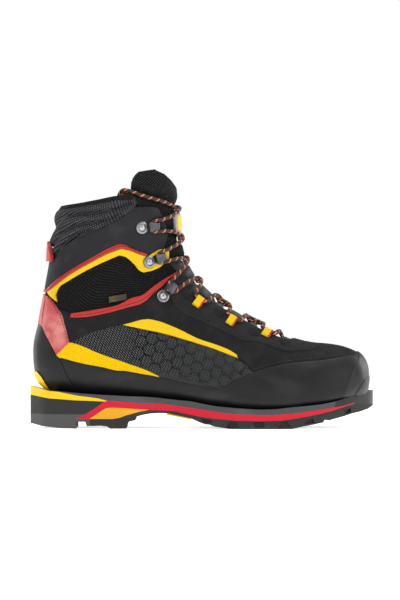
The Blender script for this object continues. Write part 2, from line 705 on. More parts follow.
# Each cloth: its colour, its lit threads, its dark gaps, and then its pitch and what follows it in woven().
CLOTHS = {
    "yellow_textile": ((0.76, 0.49, 0.004), (0.84, 0.62, 0.02), (0.62, 0.36, 0.0), 1.3, math.radians(-35)),
    "stretch_black": ((0.009, 0.009, 0.010), (0.070, 0.070, 0.073), (0.003, 0.003, 0.003), 1.5, 0.5, 0.25),
    "collar_cloth": ((0.052, 0.050, 0.056), (0.22, 0.215, 0.23), (0.010, 0.010, 0.011), 1.7, 0.25, 0.2, 0.85),
    "tongue_cloth": ((0.014, 0.014, 0.015), (0.120, 0.120, 0.122), (0.004, 0.004, 0.004), 1.9, 0.8, 0.32),
    "rim_binding": ((0.014, 0.014, 0.015), (0.050, 0.050, 0.052), (0.006, 0.006, 0.006), 1.2, 0.0, 0.16),
    "lining_knit": (
        (0.018, 0.018, 0.019), (0.055, 0.055, 0.058), (0.007, 0.007, 0.007), 2.2, 0.4, 0.3, 0.8, False,
    ),
}
CLOTH = {name: woven(name, *recipe).material for name, recipe in CLOTHS.items()}


# ---------------------------------------------------------------- side-view lines
ANKLE_LINE = [
    (-139, 117.3), (-136.5, 113.5), (-128, 106), (-115.5, 101.5), (-91, 105.5), (-73, 109.5), (-62.5, 115),
    (-53.5, 117.5), (-42, 126), (-33, 132), (-22, 138.5),
]
ANKLE_PIPING_LOW = [
    (-21.5, 137), (-28.5, 132), (-34.5, 126), (-42, 120), (-49, 113), (-53.5, 110), (-64, 107), (-82, 102),
    (-104, 98), (-116.2, 97.6),
]
CUFF_LOW_LINE = [
    (-31, 147.5), (-33, 145.5), (-37.5, 142), (-44.5, 139), (-51.5, 137.5), (-54.5, 139), (-59.5, 144.5),
    (-68.5, 151.5), (-73, 152.5), (-83.5, 148), (-99.5, 140.5), (-117.5, 130.5), (-126.5, 124.5),
    (-130, 118), (-128.5, 111.8), (-135.2, 117), (-137.5, 120.2),
]
CUFF_PIPING_LOW = [
    (-48, 151.5), (-55, 153.5), (-64, 157), (-71, 158.5), (-82, 154.5), (-99.5, 145.5), (-117.5, 135),
    (-131, 125), (-137.5, 120.2),
]
CUFF_PIPING_TOP = [
    (-137.5, 123), (-131, 129), (-117.5, 139), (-99.5, 149.5), (-83.5, 158.5), (-73, 163), (-67.5, 162),
    (-59.5, 158), (-48, 154),
]
CUFF_TOP_LINE = [
    (-135.5, 147), (-130, 150), (-123, 159.5), (-115.5, 165), (-99.5, 171), (-82, 180), (-68.5, 187),
    (-58, 194.5),
]
RIM_LINE = [(-121, 197.5), (-106, 199.5), (-91, 202), (-75, 205), (-61.5, 206)]
CUFF_FRONT_LINE = [
    (-58, 194.5), (-50, 195.2), (-42, 195), (-38.5, 194), (-36.5, 190.5), (-33, 182), (-30.5, 173),
    (-31, 166.5), (-33, 161), (-31.5, 157.5),
]
THROAT_LOW_LINE = [
    (-19.5, 138), (-21.5, 126.5), (-12.5, 122), (-2, 119.5), (11.5, 109.5), (20.5, 104.5), (36.5, 95.5),
    (53.5, 86.5), (66, 81), (77, 78), (84, 80),
]
RAND_LINE = [
    (-108.5, 32), (-115, 39.5), (-121, 51), (-126.5, 62.5), (-128.5, 64.5), (-126.5, 63.8), (-113, 59.5),
    (-91, 55), (-64, 50.5), (-46.5, 47.5), (-36.5, 45.5), (-10.5, 40.5), (7, 37.5), (18, 37), (25, 42),
    (34, 46), (44.5, 50), (65, 56), (87, 59), (109.5, 61), (127.5, 64), (140, 66.5),
]
SOLE_LINE = [    # just below the top of the welt, where the upper goes into the sole
    (-152, 33), (-129, 31.5), (-108.5, 29), (-91, 27.8), (-68.5, 26.6), (-42, 25.5), (-19.5, 23),
    (-2, 20.6), (11.5, 18.6), (34, 16.8), (51.5, 16), (65, 16.4), (78.5, 17.8), (96, 19.2), (118.5, 22.6),
    (133.5, 27.4), (146, 32), (158, 33),
]
BACK = -160      # an x behind the whole boot


def part_of(line, low, high):
    """The points of a line whose x is between two values."""
    return [p for p in line if low <= p[0] <= high]


def shifted(line, dx, dz):
    """A side-view line, moved."""
    return [(x + dx, z + dz) for x, z in line]


# ---------------------------------------------------------------- what each panel's face does
def ripple(p, size, seed):
    """Gentle repeatable unevenness from -1 to 1, made of a few crossing waves."""
    rng = np.random.default_rng(seed)
    total = 0
    for _ in range(5):
        k = rng.normal(size=3) * (2 * math.pi / size) * 0.6
        total = total + np.sin(p.x * k[0] + p.y * k[1] + p.z * k[2] + rng.uniform(0, 6.3))
    return total / 3


def folds(p, *creases):
    """Soft creases pressed in along side-view lines, each given as (line, width, depth)."""
    total = 0
    for line, width, depth in creases:
        line = rounded(line, closed=False)
        gap = distance(np.stack([p.x, p.z], -1), line[:-1], line[1:])
        total = total - depth * np.exp(-(gap / width) ** 2)
    return total


def handmade(wave, size, seed, *creases):
    """The height function of a face that waves by hand's unevenness and creases a little."""
    return lambda p: wave * ripple(p, size, seed) + folds(p, *creases)


rubber_face = handmade(
    0.28, 30, 3,
    ([(-133, 72), (-127, 58), (-121, 47)], 1.3, 0.5), ([(-139, 84), (-136, 66)], 1.4, 0.35),
    ([(-95, 47), (-60, 43), (-30, 39)], 2.2, 0.35),
)
toe_face = handmade(0.22, 26, 5, ([(104, 63), (118, 60), (134, 60)], 2.4, 0.3))
quarter_face = handmade(
    0.30, 34, 8,
    ([(-20, 93), (10, 81), (32, 71)], 2.2, 0.5), ([(-60, 104), (-35, 108)], 3, 0.3),
    ([(100, 71), (108, 66), (112, 62)], 2.5, 0.45),
)
cuff_face = handmade(
    0.35, 38, 11,
    ([(-64, 182), (-56, 173), (-52, 160)], 4, 0.5), ([(-100, 164), (-80, 172), (-66, 178)], 3.2, 0.35),
)
slack = handmade(
    0.4, 24, 21,
    ([(-116, 107), (-86, 112), (-56, 124)], 2.6, 1.5), ([(-100, 128), (-72, 134), (-46, 133)], 3.0, 1.2),
    ([(-60, 142), (-48, 133), (-36, 134)], 2.4, 1.2), ([(-84, 108), (-66, 122), (-58, 140)], 2.2, 0.9),
)


def flank_face(p):
    """Shallow padded hexagons, the same as the material's."""
    groove = 0.10 * hexagons_show(p.x, p.z) * (1 - smooth(hexagon_gap(p.x, p.z), 0.1, 0.9))
    return 0.5 * smooth(p.edge, 0, 6) - groove


def stretch_face(p):
    """Stretch cloth between the pipings, pushed into slack folds."""
    return slack(p) + 0.7 * smooth(p.edge, 3, 9)


COLLAR_FOLDS = [    # where the collar is sewn down between its padded rolls
    [(-136, 170), (-131, 178), (-123, 185.5), (-112, 188.5), (-96, 190), (-78, 193), (-62, 199)],
    [(-136, 158), (-129, 167), (-120, 175.5), (-107, 180), (-90, 182.5), (-74, 188)],
    [(-134, 150), (-127, 157), (-119, 165.5), (-110, 171.5), (-98, 175)],
]


def collar_face(p):
    """Three padded rolls, each crowned between two sewn folds, with a little creasing at the back."""
    height = 2.8 * smooth(p.edge, 1.5, 9)
    for line in COLLAR_FOLDS:
        height = height + folds(p, (line, 2.9, 5.2), (line, 1.1, 1.2))
    height = height + folds(p, ([(-133, 154), (-125, 160), (-116, 168)], 1.6, 0.7))
    height = height + folds(p, ([(-92, 193), (-80, 197), (-66, 201)], 2, 0.6))
    return height + 0.35 * ripple(p, 22, 31)


COLLAR_DEPTH = 10.5
ROLL = 4.6


def rolled_back(p):
    """Rounds the inner edge of the rim, as the outer edge is."""
    return rounded_edge(p.edge, ROLL)


def binding_face(p):
    """A narrow rounded band."""
    return 1.6 * smooth(p.edge, 0, 2.6)


TONGUE_DEPTH = 10.0


def tongue_face(p):
    """The tongue is pressed in by the lace and stands up between its strands."""
    gap = distance(p.base, LACE_LINE[:-1], LACE_LINE[1:])
    between = -5.4 + 3.9 * smooth(gap, 1.5, 6.5) * (0.35 + 0.65 * np.exp(-(p.angle / 0.75) ** 2))
    free = smooth(p.z, 199, 207)
    pressed = 1 - smooth(gap, 3.2, 8.0)
    height = between * (1 - free) - (0.4 + 4.8 * pressed) * free
    seam = -1.2 * np.exp(-((np.abs(p.angle) - 1.30) / 0.05) ** 2) * free
    return height + seam + 0.3 * ripple(p, 20, 41)


def tongue_back(p):
    """Thinner towards the sides and the rounded top."""
    return 4.5 * (1 - smooth(p.edge, 0, 9))


# ---------------------------------------------------------------- lace route and hardware places
HOOK_REACH, HOOK_POST, HOOK_SHEET, HOOK_GAP = 12.2, 3.2, 1.1, 3.8
HOOK_WIDTH, HOOK_END_RADIUS = 9.0, 5.7
LACE_RADIUS = 1.6
HOOKS = {    # each hook's rivet and the way it points, in the side view; the loops likewise
    "top": ((-53, 177), (-41, 178.6)),
    "mid": ((-46.5, 146.8), (-35.2, 151.2)),
    "low": ((-34.5, 116.5), (-25.6, 125)),
}
LOOPS = {0: ((57.5, 83.5), (63, 87.5)), 1: ((26.5, 95.2), (30.5, 100.4)), 2: ((-2.5, 112.4), (1.5, 118.3))}
SIDES = {"lateral": 1, "medial": -1}


def seen_at(spot, sign):
    """(u, angle) of a side-view point on one side."""
    u, angle = locate([spot])
    return u[0], angle[0] * sign


class Anchor:
    """A local frame on the boot: forward runs over the surface, out is its normal there."""

    def __init__(self, at, towards, sign):
        self.origin = off(*seen_at(at, sign), 0)
        ahead = off(*seen_at(towards, sign), 0)
        middle = ((at[0] + towards[0]) / 2, (at[1] + towards[1]) / 2)
        self.out = outward(*seen_at(middle, sign))
        forward = ahead - self.origin
        forward = forward - self.out * np.dot(forward, self.out)
        self.forward = forward / np.linalg.norm(forward)
        self.across = np.cross(self.out, self.forward)

    def point(self, forward, across, out):
        """A point of the boot from its three distances in this frame."""
        return self.origin + self.forward * forward + self.across * across + self.out * out


def anchors(spots):
    """The anchors of hooks or loops, by their name and side."""
    return {(name, side): Anchor(*spots[name], sign) for name in spots for side, sign in SIDES.items()}


HOOK_ANCHORS, LOOP_ANCHORS = anchors(HOOKS), anchors(LOOPS)
# Where the two ends of the lace cross on the ridge, from the toe up.
RIDGE = [(72.5, 82.4), (44.5, 96.6), (18.4, 112.8), (-1.6, 132.2), (-12.4, 149), (-16.8, 168), (-19.9, 196)]
TAIL = [    # side-view points over the rim and down inside the collar, with heights off the form
    ((-24, 197.3), -2.4), ((-29, 199), -2.2), ((-36, 201), -2.2), ((-43.5, 202.8), -2.2), ((-51, 205), -2.4),
    ((-58, 207.5), -3.0), ((-65, 210), -4.5), ((-70, 210.5), -8.8), ((-73.5, 206), -12.9),
    ((-75, 192), -13.4), ((-76.5, 174), -13.2), ((-78, 156), -12.6), ((-80, 138), -12.0),
]
LOOP_HALF, LOOP_BASE, LOOP_TURN = 3.5, 2.8, 3.5     # half a loop's width, its lace's height and turn
OVER, UNDER = 0.25, -3.55       # the two strands' heights off the form where they cross
ORDER = [*LOOPS, "low", "mid", "top"]


def turn_points(name, side):
    """The lace round one loop or hook, from its lower leg to its upper."""
    if name in LOOPS:
        anchor, half, radius = LOOP_ANCHORS[name, side], LOOP_HALF + LOOP_TURN, LOOP_TURN
        base, apex = LOOP_BASE, 0.0
    else:
        anchor = HOOK_ANCHORS[name, side]
        half = radius = HOOK_POST + 0.1 + LACE_RADIUS
        base, apex = HOOK_SHEET - 0.35 + HOOK_GAP / 2, HOOK_REACH - radius
    up = 1 if anchor.across[2] > 0 else -1
    far = apex + radius + 9.0
    legs = ((far, -half), (apex, -half), (apex, half), (far, half))
    return [anchor.point(forward, up * across, base) for forward, across in legs]


def between(start, spot_from, crossing, height):
    """Two points on the way over the form from a hook or loop to a ridge crossing."""
    u0, a0 = spot_from
    u1, a1 = crossing
    rise = np.clip(np.dot(start - surface(u0, a0), outward(u0, a0)), -2.0, 5.0)
    return [off(u0 + (u1 - u0) * s, a0 + (a1 - a0) * s, rise + (height - rise) * s) for s in (0.34, 0.68)]


FIRST_HEIGHT = UNDER + 1.2
OTHER = {"lateral": "medial", "medial": "lateral"}


def half_lace(side, over):
    """The lace from its lowest crossing up to one end, changing sides at each crossing."""
    path, crossing, height = [], seen_at(RIDGE[0], 1), FIRST_HEIGHT
    for name, next_crossing in zip(ORDER, RIDGE[1:]):
        turn = turn_points(name, side)
        low_spot, high_spot = [seen_at((spot[0], spot[2]), SIDES[side]) for spot in (turn[0], turn[-1])]
        path += between(turn[0], low_spot, crossing, height)[::-1] + turn
        crossing, height = seen_at(next_crossing, 1), OVER if over else UNDER
        path += between(turn[-1], high_spot, crossing, height) + [off(*crossing, height)]
        side, over = OTHER[side], not over
    return path + [off(*seen_at(spot, SIDES[side]), height) for spot, height in TAIL]


LOWEST = off(*seen_at(RIDGE[0], 1), FIRST_HEIGHT)
LACE_ROUTE = half_lace("lateral", True)[::-1] + [LOWEST] + half_lace("medial", False)


def along_spline(points, detail=6):
    """Points along the smooth NURBS line with these control points."""
    curve = bpy.data.curves.new("route", "CURVE")
    curve.dimensions = "3D"
    curve.resolution_u = detail
    spline = curve.splines.new("NURBS")
    spline.points.add(len(points) - 1)
    for spot, point in zip(spline.points, points):
        spot.co = (*point, 1)
    spline.order_u = 3
    spline.use_endpoint_u = True
    holder = bpy.data.objects.new("route", curve)
    mesh = bpy.data.meshes.new_from_object(holder)
    line = np.array([v.co for v in mesh.vertices])
    bpy.data.objects.remove(holder)
    bpy.data.meshes.remove(mesh)
    return line


LACE_LINE = along_spline(LACE_ROUTE)


# ---------------------------------------------------------------- swept and turned pieces
def sweep(name, line, across, profile, material, sizes=None, smooth_angle=50):
    """A profile of points (across, up) carried along a line of points, closed at both ends.

    across is the profile's first direction. sizes scales it at each point of the line, by a number or a pair.
    """
    line = np.asarray(line, float)
    ahead = np.gradient(line, axis=0)
    ahead /= np.maximum(np.linalg.norm(ahead, axis=1, keepdims=True), 1e-9)
    side = np.zeros_like(line)
    here = np.asarray(across, float)
    for k, direction in enumerate(ahead):       # carried along without twisting
        here = here - direction * np.dot(here, direction)
        here = here / max(np.linalg.norm(here), 1e-9)
        side[k] = here
    up = np.cross(ahead, side)
    profile = np.asarray(profile, float)
    scale = np.ones((len(line), 1)) if sizes is None else np.asarray(sizes, float).reshape(len(line), -1)
    scale = np.broadcast_to(scale, (len(line), 2))
    rings = line[:, None] + side[:, None] * (profile[:, 0] * scale[:, :1])[..., None]
    rings = rings + up[:, None] * (profile[:, 1] * scale[:, 1:])[..., None]
    n, m = len(line), len(profile)
    verts = rings.reshape(-1, 3)
    faces = [
        (k * m + j, k * m + (j + 1) % m, (k + 1) * m + (j + 1) % m, (k + 1) * m + j)
        for k in range(n - 1) for j in range(m)
    ]
    faces += [tuple(range(m))[::-1], tuple((n - 1) * m + j for j in range(m))]
    thing = new_object(name, verts, faces, material, smooth_angle)
    run = run_along(line)
    turn = np.arange(m) * 2 * math.pi / m
    corners = []
    for f in faces:
        first = f[0] % m if len(f) == 4 else 0        # a side face's last corners close the turn
        corners += [(run[v // m], turn[v % m] if v % m >= first else 2 * math.pi, 0) for v in f]
    add_flat_attribute(thing, corners, "CORNER")
    return thing


def circle(radius, count):
    """That many points round a circle."""
    turns = [2 * math.pi * k / count for k in range(count)]
    return [(radius * math.cos(turn), radius * math.sin(turn)) for turn in turns]


def strap_profile(width, thickness):
    """A flat strap's section with rounded edges."""
    w, t, r = width / 2, thickness / 2, min(thickness, width) * 0.45
    points = []
    for cx, cy, start in ((w - r, t - r, 0), (r - w, t - r, 90), (r - w, r - t, 180), (w - r, r - t, 270)):
        for k in range(4):
            angle = math.radians(start + k * 30)
            points.append((cx + r * math.cos(angle), cy + r * math.sin(angle)))
    return points


def turned(name, anchor, profile, material, at=0.0, count=32):
    """A lathe piece: (radius, height) points turned about an anchor's normal, that far forward of it."""
    verts = [anchor.point(at + x, y, height) for radius, height in profile for x, y in circle(radius, count)]
    rows = [[j * count + k for k in range(count)] for j in range(len(profile))]
    faces = []
    for row, after in zip(rows, rows[1:] + rows[:1]):
        faces += zip(row, row[1:] + row[:1], after[1:] + after[:1], after)
    return new_object(name, verts, faces, material, 35)


def joined(name, things):
    """Several objects as one."""
    bpy.ops.object.select_all(action="DESELECT")
    for thing in things:
        thing.select_set(True)
    bpy.context.view_layer.objects.active = things[0]
    bpy.ops.object.join()
    things[0].name = name
    things[0].data.name = name
    return things[0]


def line_on_form(line, sign, height):
    """Points over the form along a side-view line, on one side, and the form's normals there."""
    u, angle = locate(rounded(line, closed=False, step=1.2))
    return off(u, angle * sign, height), outward(u, angle * sign)


# One stitch: rings at a share of its length, with their size and rise as shares of the thread's radius.
STITCH = [(-0.5, 0.25, -0.35), (-0.36, 0.9, 0.1), (0.0, 1.0, 0.25), (0.36, 0.9, 0.1), (0.5, 0.25, -0.35)]
THREAD_RADIUS = 0.34


def stitches(name, lines, pitch=3.0, length=2.2):
    """Rows of single black stitches on both sides. Each line is (side-view points, height off the form)."""
    verts, faces = [], []
    ring = 6
    for line, height in lines:
        for sign in SIDES.values():
            points, normals = line_on_form(line, sign, height)
            run = run_along(points)
            for middle in np.arange(pitch / 2, run[-1] - pitch / 3, pitch):
                centre = np.array([np.interp(middle, run, axis) for axis in points.T])
                ahead = np.array([np.interp(middle + 0.5, run, axis) for axis in points.T]) - centre
                ahead /= np.linalg.norm(ahead)
                normal = normals[int(np.searchsorted(run, middle)) - 1]
                side = np.cross(normal, ahead)
                first = len(verts)
                for along, size, rise in STITCH:
                    spot = centre + ahead * along * length + normal * rise * THREAD_RADIUS
                    verts += [spot + side * x + normal * y for x, y in circle(THREAD_RADIUS * size, ring)]
                rows = [[first + j * ring + k for k in range(ring)] for j in range(len(STITCH))]
                for row, after in zip(rows, rows[1:]):
                    faces += zip(row, after, after[1:] + after[:1], row[1:] + row[:1])
                faces += [rows[0], rows[-1][::-1]]
    return new_object(name, verts, faces, black_thread, 60)


# ---------------------------------------------------------------- putting pieces on the frame
def settle(thing, body, slot, *nodes):
    """Rides on a body, takes a slot, and stands for the nodes."""
    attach(thing, body)
    if nodes:
        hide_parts(*nodes)
    return thing


def bend(thing, node):
    """Bends between the foot and the cuff, takes a slot, and stands for the node."""
    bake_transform(thing)
    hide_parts(node)


def skin(name, outline, material, body, slot, *nodes, **options):
    """A panel that rides on a body and stands for the nodes."""
    return settle(panel(name, outline, material, **options), body, slot, *nodes)


def pair(name, outline, material, body, slot, node, **options):
    """The same panel on each side."""
    for side in SIDES:
        skin(f"{name}_{side}", outline, material, body, slot, f"{node}_{side}", side=side, **options)


def lean_back(thing, front):
    """Bends a shell back, so that its outer face stays behind a side-view line, at its full thickness."""
    line = np.array(front, float)
    points = np.array([v.co for v in thing.data.vertices]) / MM
    half = len(points) // 2
    outer = points[:half]
    limit = np.interp(outer[:, 2], line[:, 1], line[:, 0])
    push = np.where(outer[:, 2] > line[0, 1], np.maximum(outer[:, 0] - limit, 0), 0)
    points[:half, 0] -= push
    points[half:, 0] -= push
    thing.data.vertices.foreach_set("co", (points * MM).astype(np.float32).ravel())
    thing.data.update()


# ---------------------------------------------------------------- the foot's panels
heel_rand_outline = [
    (BACK, 93.5), (-144, 93.5), (-141.5, 90), (-135.5, 77.5), (-128.5, 64.5), (-126.5, 62.5), (-121, 51),
    (-115, 39.5), (-108.5, 32), (-107, 28.6), (-129, 31.2), (-152, 32.5), (BACK, 33),
]
skin("heel_rand_skin", heel_rand_outline, rand_rubber, "foot", "rubber_black", "heel_rand", rise=0.5,
     front=rubber_face, step=2.2)
side_rand_outline = RAND_LINE + [(146, 67)] + part_of(SOLE_LINE, -107, 150)[::-1] + [(-108.5, 29)]
pair("side_rand_skin", side_rand_outline, rand_rubber, "foot", "rubber_black", "side_rand", rise=0.35,
     front=rubber_face, step=2.4)
toe_cap_outline = [
    (133, 90), (137, 72), (138, 68), (138.5, 64.5), (135.5, 55.5), (131.5, 46.5), (127.5, 37), (123.5, 26),
    (123, 24), (133.5, 26.4), (146, 28.6), (160, 29), (160, 90),
]
skin("toe_cap_skin", toe_cap_outline, toe_rubber, "foot", "rubber_black", "toe_cap", rise=0.75, edge=0.9,
     front=toe_face, step=1.9)
toe_bumper_outline = [
    (133.5, 26), (134.5, 30), (138, 35.5), (141.5, 41), (144.5, 44), (147, 45.5), (160, 46), (160, 29),
    (146, 28.6),
]
skin("toe_bumper_skin", toe_bumper_outline, toe_rubber, "foot", "rubber_black", "toe_bumper", rise=1.5,
     edge=1.0, step=1.7)
FLANK_TOP = [(-115.5, 75.8), (-99.5, 83.5), (-82, 89), (-71, 91.5)]
STRIPE_TOP = [
    (-71, 91.5), (-62.5, 93.5), (-53.5, 96), (-46.5, 96.5), (-39, 95), (-24, 89.5), (-2, 79), (11.5, 74.5),
    (25, 69), (30.5, 65.5), (31.5, 62.5),
]
STRIPE_LOW = [(31.5, 62.5), (25, 64.8), (11.5, 70), (-10.5, 77), (-33, 83.5), (-55, 88.2), (-71, 91.5)]
HEEL_TEXTILE_TOP = [
    (-117, 76), (-115.5, 75.8), (-112, 75), (-91, 66.5), (-64, 57), (-46.5, 50.5), (-36.5, 45.5),
]
quarter_outline = (
    ANKLE_PIPING_LOW[::-1] + [(-19.5, 138)] + THROAT_LOW_LINE[1:]
    + [(87, 84), (100, 90), (134, 90), (137, 72), (138.5, 64.5)] + part_of(RAND_LINE, 44, 128)[::-1]
    + [(37.5, 58)] + STRIPE_TOP[::-1] + FLANK_TOP[::-1][1:]
    + [(-117, 76), (-121, 91), (-124.5, 102), (-127.5, 105.6), (-115.5, 101.5)]
)
skin("quarter_skin", quarter_outline, quarter_fibre, "foot", "microfibre_dark", "vamp_and_quarters",
     rise=0.25, front=quarter_face, step=2.3)
flank_outline = (
    [(-117, 77)] + shifted(FLANK_TOP[1:], 0, 0.8) + shifted(STRIPE_LOW[::-1][1:-1], 0, 1.2)
    + [(32.5, 62.5), (38.5, 58.5), (45.5, 50), (34, 44), (25, 40), (18, 35), (7, 35.5), (-10.5, 38.5)]
    + [(-36.5, 43.5)]
    + shifted(HEEL_TEXTILE_TOP[::-1][1:-2], 0, -1.2)
)
pair("flank_mesh_skin", flank_outline, flank_mesh, "foot", "mesh_black", "flank_mesh_panel", rise=-0.35,
     front=flank_face, step=1.15, edge=0.5)
pair("flank_stripe_skin", STRIPE_TOP[:-1] + STRIPE_LOW[:-1], yellow_film, "foot", "yellow_plastic",
     "flank_stripe_yellow", rise=0.1, edge=0.5, step=2.2)
heel_textile_outline = [(-129, 64.8)] + HEEL_TEXTILE_TOP + [
    (-36.5, 44.5), (-46.5, 46), (-64, 49), (-91, 53.5), (-113, 58), (-126.5, 62.5),
]
pair("heel_textile_skin", heel_textile_outline, CLOTH["yellow_textile"], "foot", "yellow_textile",
     "heel_textile_yellow", edge=0.5, step=2.2)
tendon_outline = [
    (BACK, 92), (-144, 92), (-141.5, 90), (-140.3, 104.5), (-139, 111), (-139, 118), (BACK, 118),
]
skin("tendon_strip_skin", tendon_outline, heel_red, "foot", "red_textile", "tendon_strip", rise=0.75,
     edge=0.6, step=2.0)
heel_panel_outline = [
    (-139.3, 118), (-139, 111), (-140.3, 104.5), (-141.5, 90), (-135.5, 77.5), (-128.5, 64.5), (-117, 76),
    (-121, 91), (-124.5, 102), (-127.5, 105.6), (-134, 114),
]
pair("heel_panel_skin", heel_panel_outline, heel_red, "foot", "red_textile", "heel_panel", rise=0.15,
     edge=0.5, step=2.2)
eyestay_outline = [
    (-31, 132), (-28, 122), (-26.5, 113.5), (-25, 109), (-19.5, 103.5), (-2, 94.5), (11.5, 88.5),
    (29.5, 80), (34, 77.5), (42.5, 76.5), (53.5, 74.5), (67.5, 69.5), (76, 67.5), (88, 68.5), (98, 69),
    (101, 71), (97, 74.2), (88, 75.5), (82, 79),
] + THROAT_LOW_LINE[::-1][1:-1] + [(-20, 134), (-24, 136)]
pair("eyestay_skin", eyestay_outline, eyestay_fibre, "foot", "microfibre_dark", "eyestay", rise=1.05,
     edge=0.8, depth=1.5, step=2.2)
SCALLOPS = [((-12, 115.5), 30), ((15, 101), 36), ((45, 83.8), 24), ((73, 75.3), 16)]   # middle, slope
SCALLOP_HALF_LENGTH, SCALLOP_HALF_HEIGHT = 5.6, 2.7


def oval(middle, slope):
    """The side-view outline of an oval window that slopes down towards the toe."""
    ca, sa = math.cos(math.radians(slope)), math.sin(math.radians(slope))
    ring = [(SCALLOP_HALF_LENGTH * x, SCALLOP_HALF_HEIGHT * z) for x, z in circle(1, 12)]
    return [(middle[0] + x * ca + z * sa, middle[1] - x * sa + z * ca) for x, z in ring]


for number, scallop in enumerate(SCALLOPS):
    for side in SIDES:
        skin(f"eyestay_window_{number}_{side}", oval(*scallop), open_mesh, "foot", "mesh_black",
             side=side, rise=1.5, edge=0.5, depth=-0.4, step=1.6)
pair("ankle_piping_skin", ANKLE_LINE[3:] + ANKLE_PIPING_LOW, piping_red, "foot", "red_textile",
     "ankle_piping", rise=1.1, edge=1.0, step=2.0)

# ---------------------------------------------------------------- the cuff's panels
cuff_outline = (
    [(BACK, 146)] + CUFF_TOP_LINE[:-1] + CUFF_FRONT_LINE + [(-37.5, 158), (-44.5, 154)]
    + CUFF_PIPING_TOP[::-1] + [(BACK, 123)]
)
skin("cuff_shell_skin", cuff_outline, cuff_fibre, "cuff", "shell_dark", "cuff_shell", rise=0.55, edge=0.8,
     front=cuff_face, step=2.4)
cuff_piping_outline = [(BACK, 120.2)] + CUFF_PIPING_LOW[::-1] + CUFF_PIPING_TOP[::-1] + [(BACK, 123)]
skin("cuff_piping_skin", cuff_piping_outline, piping_red, "cuff", "red_textile", "cuff_piping", rise=1.15,
     edge=1.1, step=1.8)
cuff_frame_outline = (
    [(-29, 147.5)] + CUFF_LOW_LINE + CUFF_PIPING_LOW[-2::-1] + [(-44.5, 154), (-37.5, 158), (-29, 158)]
)
pair("cuff_frame_skin", cuff_frame_outline, yellow_film, "cuff", "yellow_plastic", "cuff_frame_yellow",
     rise=0.3, edge=0.6, step=2.0)
stretch_outline = (
    [(BACK, 117.3)] + shifted(ANKLE_LINE, 0, -1.5) + [(-22, 140), (-29, 147)]
    + shifted(CUFF_LOW_LINE, 0, 1.5) + [(BACK, 120.2)]
)
stretch = panel("ankle_stretch_skin", stretch_outline, CLOTH["stretch_black"], rise=-1.15, edge=0.5,
                depth=2.9, front=stretch_face, step=2.2)
bend(stretch, "ankle_stretch_panel")
collar_outline = (
    [(BACK, 146)] + shifted(CUFF_TOP_LINE, 0, -2.5) + [(-56, 199), (-59, 204.5)] + RIM_LINE[::-1]
    + [(BACK, 192)]
)
collar = skin("collar_pad_skin", collar_outline, CLOTH["collar_cloth"], "cuff", "collar_textile",
              "collar_pad", rise=0.4, edge=ROLL, depth=COLLAR_DEPTH, front=collar_face, back=rolled_back,
              step=2.0)
binding_outline = [
    (BACK, 188), (-124, 190.5), (-116, 192.5), (-106, 194.3), (-91, 197), (-75, 200), (-60, 201.5),
    (-60.5, 205.5),
] + RIM_LINE[::-1] + [(BACK, 194)]
skin("collar_binding_skin", binding_outline, CLOTH["rim_binding"], "cuff", "collar_textile",
     "collar_binding", rise=0.9, edge=1.9, depth=1.2, front=binding_face, step=1.7)
pull_outline = [
    (BACK, 146.5), (-131.5, 147.5), (-131.2, 149.5), (-132.4, 156), (-133.7, 162), (-134.8, 167),
    (-135.2, 171), (BACK, 172),
]
skin("heel_pull_skin", pull_outline, piping_red, "cuff", "red_textile", "heel_pull_loop", rise=3.3,
     edge=0.9, depth=-0.2, step=1.5)

# ---------------------------------------------------------------- tongue and lining
shaft_outline = [
    (-61.5, 206), (-72, 204), (-70, 190), (-60, 178), (-48, 165), (-45, 149.5), (-30, 150), (15, 150),
    (5, 200), (5, 228.5), (-42, 228.5), (-54.5, 226.5), (-58.5, 223), (-61.5, 217.5),
]
shaft = panel("tongue_shaft_skin", shaft_outline, CLOTH["tongue_cloth"], edge=3.4, depth=TONGUE_DEPTH,
              front=tongue_face, back=tongue_back, step=1.9)
lean_back(shaft, [(-19.5, 203), (-20.8, 208), (-22.5, 213), (-27, 219), (-33, 224.5), (-42, 228.5)])
settle(shaft, "cuff", "mesh_black", "tongue_shaft")
flex_outline = [
    (-44, 149.5), (-43, 140), (-41, 126.5), (-30, 130), (-20, 133), (18, 134), (18, 150), (-30, 150),
]
flex = panel("tongue_flex_skin", flex_outline, tongue_cover, edge=0.8, depth=TONGUE_DEPTH,
             front=tongue_face, step=1.9)
bend(flex, "tongue_flex")
instep_outline = [
    (-41, 126.5), (-38, 118), (-25, 106), (-5, 96), (15, 87), (40, 78), (70, 70), (90, 68), (94, 90),
    (40, 134), (18, 134), (-20, 133), (-30, 130),
]
instep = skin("tongue_instep_skin", instep_outline, tongue_cover, "foot", "mesh_black", "tongue_instep",
              edge=0.8, depth=TONGUE_DEPTH, front=tongue_face, step=1.9)

BADGE = [(-22.6, 174), (-22.6, 189), (-21.4, 191.5), (0, 192.5), (0, 172.5), (-21.4, 172.6)]
BADGE_INSET = [(-21.4, 176), (-21.4, 187.5), (-20.4, 189.3), (0, 190), (0, 175), (-20.4, 175)]
skin("tongue_badge_rim", BADGE, badge_gray, "cuff", "badge_gray", "tongue_badge_frame", rise=-0.4, edge=0.8,
     depth=3.0, step=1.2)
skin("tongue_badge_face", BADGE_INSET, yellow_mould, "cuff", "badge_yellow", "tongue_badge_insert",
     rise=0.15, edge=0.9, depth=1.5, step=1.2)

